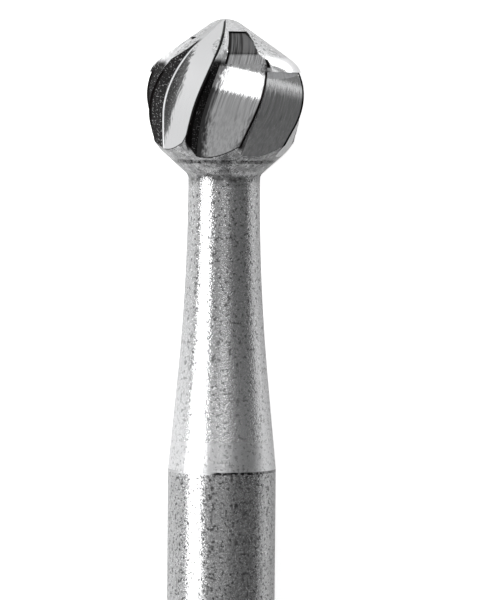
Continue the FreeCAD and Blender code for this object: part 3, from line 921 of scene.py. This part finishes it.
def carbide_finish():
    """Ground tungsten carbide: mirror walls, rough faces and a satin skin, with painted shade and highlights.
    """
    metal, tree, shader, space = new_metal("carbide", TWIST_PER_MM)
    upright, straight, height = (space[name] for name in ("Upright", "Untwisted", "Height"))
    at = carbide_places(tree, height)
    satin_grain = placed(tree, speckle_group, Where=upright, Grain=0.05, Pits=0.44, Grains=0.57)
    rough_grain = placed(tree, speckle_group, Where=upright, Grain=0.05, Pits=0.5, Grains=0.6)
    streaks = placed(tree, scratch_group, Where=straight, Stretch=(0.03, 0.03, 1.2), Share=0.33)

    satin, shoulder = satin_skin(tree, height, upright, satin_grain)
    wall = mirror_wall(tree, at, height, streaks, rough_grain)
    pocket, pocket_bottom = pocket_tones(tree, at, height)
    tone = carbide_tone(tree, at, height, satin, wall, pocket, rough_grain)
    tree.links.new(grey(tree, tone), shader.inputs["Base Color"])

    skin_dull = ramp(tree, height, *NECK_HEIGHTS, *NECK_ROUGHNESS)
    wall_dull = ramp(tree, streaks["Tone"], *STREAK_RANGE, *WALL_ROUGHNESS)
    dull = choose(tree, at["in_flute"], skin_dull, wall_dull)
    dull = choose(tree, times(tree, at["tip_pocket"], pocket_bottom), dull, POCKET_ROUGHNESS)
    tree.links.new(choose(tree, at["rough"], dull, ROUGH_ROUGHNESS), shader.inputs["Roughness"])

    skin = times(tree, satin_grain["Relief"], ramp(tree, height, *HEAD_START, 1.0, HEAD_BUMP))
    skin = choose(tree, either(tree, at["in_flute"], at["rough"], shoulder), skin, 0.0)
    bumps = maths(tree, "ADD", skin, times(tree, rough_grain["Relief"], at["rough"]))
    grooves = times(tree, streaks["Tone"], at["in_flute"], GROOVE_BUMP)
    relief(tree, shader, maths(tree, "ADD", bumps, grooves), CARBIDE_BUMP)
    return metal


carbide = carbide_finish()
print("finish:", carbide.name, "with", len(carbide.node_tree.nodes), "nodes")

# %% [markdown]
# ## Braze and steel
#
# The braze is a film of silver alloy, squeezed out as the joint was heated and ground flush afterwards. It is
# dull and mottled, and dark with what is left of the flux. Both its sides are painted lighter, standing in
# for the highlight and the pale rim that the metal beside it shows there. The steel shank was ground between
# two wheels without centres, which leaves a coarser speckle than the carbide's, with short scratches along
# it.

# %% Braze finish
RELIEF_RANGE = (0.3, 0.7)       # where most of the speckle's relief lies
BRAZE_TONES = (0.35, 0.08)      # between the patches, and in them
BRAZE_PIT = 0.01
# The braze's sides are painted lighter, standing in for the highlight and pale rim of the metal beside it.
BRAZE_PAINTED_LIGHT = 0.6
LIT_LEFT = (-0.3, -0.12)      # millimetres across, where the braze's painted light is whole and where it is dark
LIT_RIGHT = (0.5, 0.78)
LIT_RIGHT_STRENGTH = 0.5
BRAZE_ROUGHNESS = (0.35, 0.55)
BRAZE_BUMP = 0.02 * MM


def braze_finish():
    """A ground film of silver braze, dulled by flux and painted lighter at its sides."""
    metal, tree, shader, space = new_metal("braze", 0.0)
    upright = space["Upright"]
    grain = placed(tree, speckle_group, Where=upright, Grain=0.06, Pits=0.5, Grains=0.6)
    patches = placed(tree, speckle_group, Where=upright, Grain=0.25, Pits=0.52, Grains=0.6)
    dark = choose(tree, grain["Dark"], ramp(tree, patches["Dark"], 0, 1, *BRAZE_TONES), BRAZE_PIT)
    # Painted light on both sides of the film.
    across = parts_of(tree, upright)["X"]
    lit_right = ramp(tree, across, *LIT_RIGHT, 0.0, LIT_RIGHT_STRENGTH)
    lit_sides = either(tree, below(tree, across, *LIT_LEFT), lit_right)
    tree.links.new(grey(tree, choose(tree, lit_sides, dark, BRAZE_PAINTED_LIGHT)), shader.inputs["Base Color"])
    tree.links.new(ramp(tree, grain["Relief"], *RELIEF_RANGE, *BRAZE_ROUGHNESS), shader.inputs["Roughness"])
    relief(tree, shader, grain["Relief"], BRAZE_BUMP)
    return metal


# %% Steel finish
STEEL_TONES = (0.52, 0.85)      # the shank's ground tone and its light grains
STEEL_PIT = 0.05
STEEL_PIT_STRENGTH = 0.85
STEEL_SCRATCH = 0.12
STEEL_SCRATCH_STRENGTH = 0.5
STEEL_ROUGHNESS = (0.18, 0.3)
STEEL_BUMP = 0.007 * MM


def steel_finish():
    """A centreless ground shank."""
    metal, tree, shader, space = new_metal("shank steel", 0.0)
    upright = space["Upright"]
    grain = placed(tree, speckle_group, Where=upright, Grain=0.042, Pits=0.45, Grains=0.57)
    lines = placed(tree, scratch_group, Where=upright, Stretch=(0.03, 0.03, 0.16), Share=0.34)
    tone = ramp(tree, grain["Light"], 0, 1, *STEEL_TONES)
    tone = choose(tree, times(tree, grain["Dark"], STEEL_PIT_STRENGTH), tone, STEEL_PIT)
    tone = choose(tree, times(tree, lines["Deep"], STEEL_SCRATCH_STRENGTH), tone, STEEL_SCRATCH)
    tree.links.new(grey(tree, tone), shader.inputs["Base Color"])
    tree.links.new(ramp(tree, grain["Relief"], *RELIEF_RANGE, *STEEL_ROUGHNESS), shader.inputs["Roughness"])
    relief(tree, shader, grain["Relief"], STEEL_BUMP)
    return metal


braze = braze_finish()
steel = steel_finish()
print("finishes:", [metal.name for metal in (carbide, braze, steel)])

# %% [markdown]
# ## Grinding the head
#
# The tree is run once, on an object that holds only the outline's points. Its result is read back as a plain
# mesh, laid down at the burr's rest, and its normals are split where two faces meet at a real edge.

# %% Run a tree and lay its mesh down
def set_input(modifier, name, setting):
    """Sets a modifier's input by its socket's identifier."""
    for item in modifier.node_group.interface.items_tree:
        if item.item_type == "SOCKET" and item.in_out == "INPUT" and item.name == name:
            modifier[item.identifier] = setting
            return
    raise KeyError(name)


def baked(carrier, tree, settings, name):
    """The plain mesh that a tree makes from a carrier object, as a new object; the carrier is removed."""
    modifier = carrier.modifiers.new(tree.name, "NODES")
    modifier.node_group = tree
    for key, setting in settings.items():
        set_input(modifier, key, setting)
    seen = bpy.context.evaluated_depsgraph_get()
    mesh = bpy.data.meshes.new_from_object(carrier.evaluated_get(seen), depsgraph=seen)
    carrier.modifiers.remove(modifier)
    bpy.data.objects.remove(carrier)
    return linked(name, mesh)


def linked(name, data):
    """A new object in the scene, at the origin."""
    thing = bpy.data.objects.new(name, data)
    bpy.context.scene.collection.objects.link(thing)
    return thing


def outline_object(points, name):
    """An outline as a chain of points, (radius, 0, height)."""
    mesh = bpy.data.meshes.new(name)
    mesh.from_pydata([(r, 0, h) for r, h in points], [(i, i + 1) for i in range(len(points) - 1)], [])
    return linked(name, mesh)


def finish_mesh(piece, crease):
    """Lays a piece down at the burr's rest, turns its faces outwards and shades it, with creases kept."""
    mesh = piece.data
    mesh.transform(upright_to_bench)
    mesh.calc_loop_triangles()
    volume = 0
    for triangle in mesh.loop_triangles:
        first, second, third = (mesh.vertices[i].co for i in triangle.vertices)
        volume += first.dot(second.cross(third)) / 6
    if volume < 0:
        mesh.flip_normals()
    mesh.shade_smooth()
    mesh.set_sharp_from_angle(angle=math.radians(crease))
    print(f"{piece.name}: {len(mesh.loop_triangles)} triangles, volume {abs(volume) / MM**3:.3f} cubic mm")


# %% Grind the head
LEAN = math.radians(15)         # how far past a tooth's edge its wall comes nearest to the axis
LEAD = math.radians(5)          # from a tooth's edge to the root of its flute
CENTRE_LEAD = math.radians(9)
TWIST = TWIST_PER_MM / MM
POCKET_LEAD = math.radians(8.75)
POCKET_DEPTH = 0.048 * MM
POCKET_ENTRY = math.radians(39)
COLUMNS = 360
HEAD_CREASE = 20                # degrees, above which an edge stays sharp
cone_touch = (BALL - NOSE) * math.sin(POINT) + NOSE
pocket_reach = (cone_touch - POCKET_DEPTH - POCKET_BEND * math.sin(POINT)) / math.cos(POINT)

head = baked(
    outline_object(outline, "blank outline"),
    flute_tree(),
    {
        "Ball": BALL, "Reach": REACH, "Lean": LEAN, "Lead": LEAD, "Centre lead": CENTRE_LEAD, "Twist": TWIST,
        "Rear runout": REAR_RUNOUT, "Centre runout": CENTRE_RUNOUT, "Tip runout": TIP_RUNOUT,
        "Short top": SHORT_TOP, "Middle top": MIDDLE_TOP,
        "Pocket lead": POCKET_LEAD, "Pocket start": POCKET_START, "Pocket bend": POCKET_BEND,
        "Pocket ledge": POCKET_LEDGE, "Pocket reach": pocket_reach, "Pocket entry": POCKET_ENTRY,
        "Point": POINT,
        "Teeth": TEETH, "Columns": COLUMNS, "Rows": len(outline), "Finish": carbide,
    },
    "fluted_head",
)
finish_mesh(head, HEAD_CREASE)
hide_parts("cutting_head")
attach(head, "root")

# %% [markdown]
# ## Braze film and shank
#
# Both are plain bars of the same diameter, turned about the burr's axis. The shank's far end is chamfered, as
# it has to find its way into a chuck. A half outline is swept round the axis, with enough sides that the
# reflections run straight.

# %% A turned bar
BAR_SIDES = 192
BAR_CREASE = 30                 # degrees


def turned_bar(name, half_outline):
    """A bar whose half outline is given from the tip's side, as (radius, height), closed at both ends."""
    rim = half_outline[1:-1]
    points = [(0, 0, half_outline[0][1])]
    for radius, height in rim:
        for side in range(BAR_SIDES):
            turn = math.tau * side / BAR_SIDES
            points.append((radius * math.cos(turn), radius * math.sin(turn), height))
    points.append((0, 0, half_outline[-1][1]))
    faces = []
    for side in range(BAR_SIDES):
        here = 1 + side
        there = 1 + (side + 1) % BAR_SIDES
        faces.append((0, here, there))
        for row in range(len(rim) - 1):
            step = row * BAR_SIDES
            faces.append((here + step, here + step + BAR_SIDES, there + step + BAR_SIDES, there + step))
        last = (len(rim) - 1) * BAR_SIDES
        faces.append((len(points) - 1, there + last, here + last))
    mesh = bpy.data.meshes.new(name)
    mesh.from_pydata(points, [], faces)
    bar = linked(name, mesh)
    finish_mesh(bar, BAR_CREASE)
    return bar


# %% Turn the film and the shank
SHANK_STEPS = 24                # stretches along the shank, so that its triangles don't get too thin
film_face = -FACE
shank_face = -FACE - FILM
shank_end = BALL - LENGTH
film_outline = [(0, film_face), (SHANK, film_face), (SHANK, shank_face), (0, shank_face)]
shank_outline = [(0, shank_face)]
shank_outline += run_points((SHANK, shank_face), (SHANK, shank_end + CHAMFER), SHANK_STEPS)
shank_outline += [(SHANK, shank_end + CHAMFER), (SHANK - CHAMFER, shank_end), (0, shank_end)]
for name, half_outline, node, finish, slot in (
    ("braze_film", film_outline, "braze_joint", braze, "braze"),
    ("steel_shank", shank_outline, "shank", steel, "shank_steel"),
):
    piece = turned_bar(name, half_outline)
    piece.data.materials.append(finish)
    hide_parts(node)
    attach(piece, "root")

# %% [markdown]
# ## Camera
#
# The photograph looks straight at the ball, from about seven times the picture's height away. The camera
# stands there and is turned down until the ball is as far above the picture's middle as in the photograph.
# A lens shift would frame it as well, but would push the burr out of the frame in views from other sides.

# %% Camera
IMAGE_WIDTH = 488
IMAGE_HEIGHT = 600
PIXEL = 0.01475 * MM            # what a pixel of the photograph spans
BALL_PIXEL = (224.9, 102.0)     # the ball's centre in the photograph, across and down
DISTANCE = 62 * MM
TURN = math.radians(-3.4)       # round the burr, from its upright frame's front
ROLL = math.radians(0.5)        # the burr leans this much in the photograph
SENSOR = 36

turned = upright_to_bench.to_3x3()
towards = turned @ Vector((math.sin(TURN), -math.cos(TURN), 0))
rightwards = turned @ Vector((math.cos(TURN), math.sin(TURN), 0))
axis = turned @ Vector((0, 0, 1))
up = axis * math.cos(ROLL) - rightwards * math.sin(ROLL)
right = rightwards * math.cos(ROLL) + axis * math.sin(ROLL)
ball = upright_to_bench.translation
aside = (IMAGE_WIDTH / 2 - BALL_PIXEL[0]) * PIXEL
down = math.asin((IMAGE_HEIGHT / 2 - BALL_PIXEL[1]) * PIXEL / DISTANCE)
back = towards * math.cos(down) + up * math.sin(down)
top = up * math.cos(down) - towards * math.sin(down)
lens = bpy.data.cameras.new("camera")
lens.sensor_width = SENSOR
lens.lens = SENSOR * DISTANCE * math.cos(down) / (IMAGE_HEIGHT * PIXEL)
lens.clip_start = 1 * MM
camera = linked("camera", lens)
camera_turn = Matrix((right, top, back)).transposed().to_4x4()
camera.matrix_world = Matrix.Translation(ball + right * aside + towards * DISTANCE) @ camera_turn
bpy.context.scene.camera = camera
print(f"camera {DISTANCE / MM:.0f} mm away, turned {math.degrees(down):.2f} degrees down")

# %% [markdown]
# ## Studio
#
# A polished tool shows its studio. A tall softbox on the left draws the bright line down the neck and the
# shank, and a softbox high in front, turned a little, lights the tip and the white patch on the middle flute.
# A dark card on the right, with a paler one beside it, keeps that side deep, and a narrow dark one on the
# left darkens the neck's rim. Two small cards on the bench are mirrored only by the third flute, which leans
# towards them: a bright one at its upper end and a dark one below. The lamps and cards are hidden from the
# camera, so they show in the metal alone.
#
# The floor is a pale table, and the world behind it is grey. Light Path makes both white for the camera, and
# the floor a little lighter in reflections, which adds no light to the burr and keeps its soft shadow.

# %% Floor and world
FLOOR_SIDE = 500 * MM
BENCH_GAP = 0.02 * MM           # keeps the floor a hair below the burr
FLOOR_TONE = 0.9
CAMERA_GLOW = 0.7
MIRROR_GLOW = 0.12
WORLD_TONE = 0.4


def matt(name, tone, roughness=1.0, glow=0.0):
    """A plain sheet's material: a tone without gloss, and a glow of its own."""
    material = bpy.data.materials.new(name)
    material.use_nodes = True
    shader = material.node_tree.nodes["Principled BSDF"]
    shader.inputs["Base Color"].default_value = (tone, tone, tone, 1)
    shader.inputs["Roughness"].default_value = roughness
    shader.inputs["Specular IOR Level"].default_value = 0
    shader.inputs["Emission Color"].default_value = (1, 1, 1, 1)
    shader.inputs["Emission Strength"].default_value = glow
    return material


def sheet_object(name, corners, material):
    """A flat four-cornered sheet beside the burr."""
    mesh = bpy.data.meshes.new(name)
    mesh.from_pydata(corners, [], [(0, 1, 2, 3)])
    mesh.materials.append(material)
    sheet = linked(name, mesh)
    return sheet


def table_white():
    """A pale floor, with a little light of its own for the camera and for reflections."""
    material = matt("table white", FLOOR_TONE, roughness=0.9)
    tree = material.node_tree
    path = tree.nodes.new("ShaderNodeLightPath").outputs
    seen = times(tree, path["Is Camera Ray"], CAMERA_GLOW)
    mirrored = times(tree, path["Is Glossy Ray"], MIRROR_GLOW)
    strength = tree.nodes["Principled BSDF"].inputs["Emission Strength"]
    tree.links.new(maths(tree, "ADD", seen, mirrored), strength)
    return material


corners = ((-1, -1), (1, -1), (1, 1), (-1, 1))
sheet_object("floor", [(x * FLOOR_SIDE, y * FLOOR_SIDE, -BENCH_GAP) for x, y in corners], table_white())
world = bpy.data.worlds.new("studio")
world.use_nodes = True
world_path = world.node_tree.nodes.new("ShaderNodeLightPath").outputs
world_tone = choose(world.node_tree, world_path["Is Camera Ray"], WORLD_TONE, 1.0)
world.node_tree.links.new(world_tone, world.node_tree.nodes["Background"].inputs["Color"])
bpy.context.scene.world = world
bpy.context.scene.view_settings.view_transform = "Standard"
print(f"floor {2 * FLOOR_SIDE:.0f} m wide, world tone {WORLD_TONE}")


# %% Lamps
def way_from_ball(azimuth, rise):
    """The direction at an angle round the burr from the camera's side, and a rise towards the tip."""
    a = math.radians(azimuth) + TURN
    e = math.radians(rise)
    return turned @ Vector((math.sin(a) * math.cos(e), -math.cos(a) * math.cos(e), math.sin(e)))


def softbox(name, azimuth, rise, distance, size, glow, roll=0):
    """A lamp that faces the axis squarely, turned in its own plane, with the brightness that it shows."""
    lamp = bpy.data.lights.new(name, "AREA")
    lamp.shape = "RECTANGLE"
    lamp.size, lamp.size_y = size
    lamp.energy = glow * math.pi * lamp.size * lamp.size_y
    holder = linked(name, lamp)
    holder.location = ball + way_from_ball(azimuth, rise) * distance
    facing = way_from_ball(azimuth, 0)
    beside = axis.cross(facing).normalized()
    square = Matrix((beside, axis, facing)).transposed()
    holder.rotation_euler = (square @ Matrix.Rotation(math.radians(roll), 3, "Z")).to_euler()
    holder.visible_camera = False
    print(f"{name}: {lamp.energy:.3f} W")


softbox("left softbox", azimuth=-60, rise=0, distance=0.3, size=(0.095, 0.4), glow=7)
softbox("front softbox", azimuth=7, rise=43, distance=0.3, size=(0.18, 0.36), glow=1.9, roll=27)


# %% Cards
BENCH_CARD_HEIGHT = 0.1 * MM


def card(name, first, last, low, high, distance, tone):
    """A flat card that runs along the axis between two azimuths, from a low to a high end, in millimetres."""
    corners = [
        ball + way_from_ball(azimuth, 0) * distance * MM + axis * height * MM
        for azimuth, height in ((first, low), (last, low), (last, high), (first, high))
    ]
    sheet_object(name, corners, matt(name, tone)).visible_camera = False


def bench_card(name, near, far, low, high, tone, glow):
    """A small card on the bench, from near to far beside the ball and from low to high along it, in mm."""
    spots = [(near, low), (far, low), (far, high), (near, high)]
    corners = [ball + rightwards * x * MM + axis * z * MM for x, z in spots]
    corners = [(c.x, c.y, BENCH_CARD_HEIGHT) for c in corners]
    sheet_object(name, corners, matt(name, tone, glow=glow)).visible_camera = False


card("pale side of the card", first=8, last=26, low=-30, high=18, distance=41, tone=0.3)
card("dark side of the card", first=26, last=88, low=-30, high=25, distance=40, tone=0.17)
card("left strip", first=-92, last=-77, low=-30, high=18, distance=42, tone=0.1)
bench_card("bright bench card", near=1.9, far=4.5, low=1.9, high=9, tone=0.8, glow=1.6)
bench_card("dark bench card", near=4.6, far=14, low=1.9, high=14, tone=0.3, glow=0)
